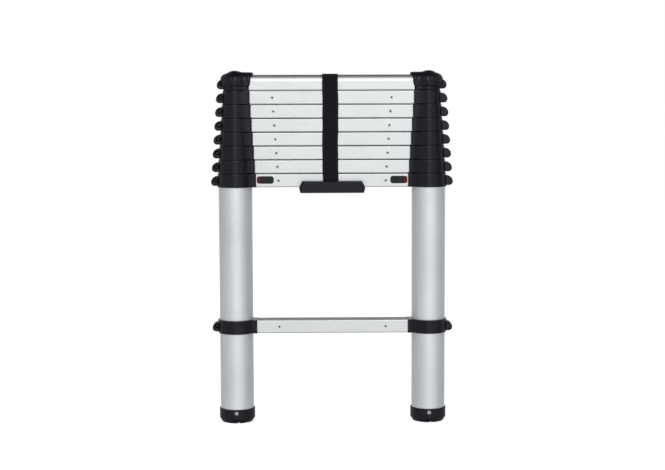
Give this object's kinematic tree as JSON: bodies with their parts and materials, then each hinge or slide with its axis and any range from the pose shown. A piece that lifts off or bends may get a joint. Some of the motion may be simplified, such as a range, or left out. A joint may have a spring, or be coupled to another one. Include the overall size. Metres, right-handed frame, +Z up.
{
  "type": "telescopic ladder",
  "caption": "Closed telescopic aluminium ladder: round tubes that nest, stacked rungs in black collars, rubber feet, thumb release buttons and a carry strap with a handle.",
  "frame": {"origin": "on the floor, midway between the two feet, in the plane of the tube axes", "axes": "+X along the rungs to the right as seen from the front, +Y to the back, +Z up along the tubes"},
  "size_m": [0.4936, 0.0762, 0.7214],
  "materials": {
    "tube_aluminium": "satin anodised",
    "rung_aluminium": "satin anodised, extruded",
    "collar_plastic": "moulded, fine texture",
    "handle_plastic": "moulded",
    "foot_rubber": "matt",
    "flag_plastic": "gloss",
    "strap_webbing": "woven webbing"
  },
  "bodies": {
    "base": {"left_foot": "foot_rubber", "right_foot": "foot_rubber", "stiles_1": "tube_aluminium", "rung_1": "rung_aluminium", "rung_2": "rung_aluminium", "left_collar_1": "collar_plastic", "right_collar_1": "collar_plastic", "left_collar_2": "collar_plastic", "right_collar_2": "collar_plastic", "left_lock_flag": "flag_plastic", "right_lock_flag": "flag_plastic"},
    "section_2": {"stiles_2": "tube_aluminium", "rung_3": "rung_aluminium", "left_collar_3": "collar_plastic", "right_collar_3": "collar_plastic"},
    "section_3": {"stiles_3": "tube_aluminium", "rung_4": "rung_aluminium", "left_collar_4": "collar_plastic", "right_collar_4": "collar_plastic"},
    "section_4": {"stiles_4": "tube_aluminium", "rung_5": "rung_aluminium", "left_collar_5": "collar_plastic", "right_collar_5": "collar_plastic"},
    "section_5": {"stiles_5": "tube_aluminium", "rung_6": "rung_aluminium", "left_collar_6": "collar_plastic", "right_collar_6": "collar_plastic"},
    "section_6": {"stiles_6": "tube_aluminium", "rung_7": "rung_aluminium", "left_collar_7": "collar_plastic", "right_collar_7": "collar_plastic"},
    "section_7": {"stiles_7": "tube_aluminium", "rung_8": "rung_aluminium", "left_collar_8": "collar_plastic", "right_collar_8": "collar_plastic"},
    "section_8": {"stiles_8": "tube_aluminium", "rung_9": "rung_aluminium", "left_top_cap": "collar_plastic", "right_top_cap": "collar_plastic", "strap": "strap_webbing", "handle": "handle_plastic"},
    "left_release": {"left_button": "handle_plastic"},
    "right_release": {"right_button": "handle_plastic"}
  },
  "joints": [
    {"name": "section_2_slide", "type": "slide", "parent": "base", "child": "section_2", "axis": [0, 0, 1], "range_m": [0, 0.272]},
    {"name": "section_3_slide", "type": "slide", "parent": "section_2", "child": "section_3", "axis": [0, 0, 1], "range_m": [0, 0.272]},
    {"name": "section_4_slide", "type": "slide", "parent": "section_3", "child": "section_4", "axis": [0, 0, 1], "range_m": [0, 0.272]},
    {"name": "section_5_slide", "type": "slide", "parent": "section_4", "child": "section_5", "axis": [0, 0, 1], "range_m": [0, 0.272]},
    {"name": "section_6_slide", "type": "slide", "parent": "section_5", "child": "section_6", "axis": [0, 0, 1], "range_m": [0, 0.272]},
    {"name": "section_7_slide", "type": "slide", "parent": "section_6", "child": "section_7", "axis": [0, 0, 1], "range_m": [0, 0.272]},
    {"name": "section_8_slide", "type": "slide", "parent": "section_7", "child": "section_8", "axis": [0, 0, 1], "range_m": [0, 0.272]},
    {"name": "left_release_slide", "type": "slide", "parent": "base", "child": "left_release", "axis": [-1, 0, 0], "range_m": [0, 0.0096]},
    {"name": "right_release_slide", "type": "slide", "parent": "base", "child": "right_release", "axis": [1, 0, 0], "range_m": [0, 0.0096]}
  ]
}
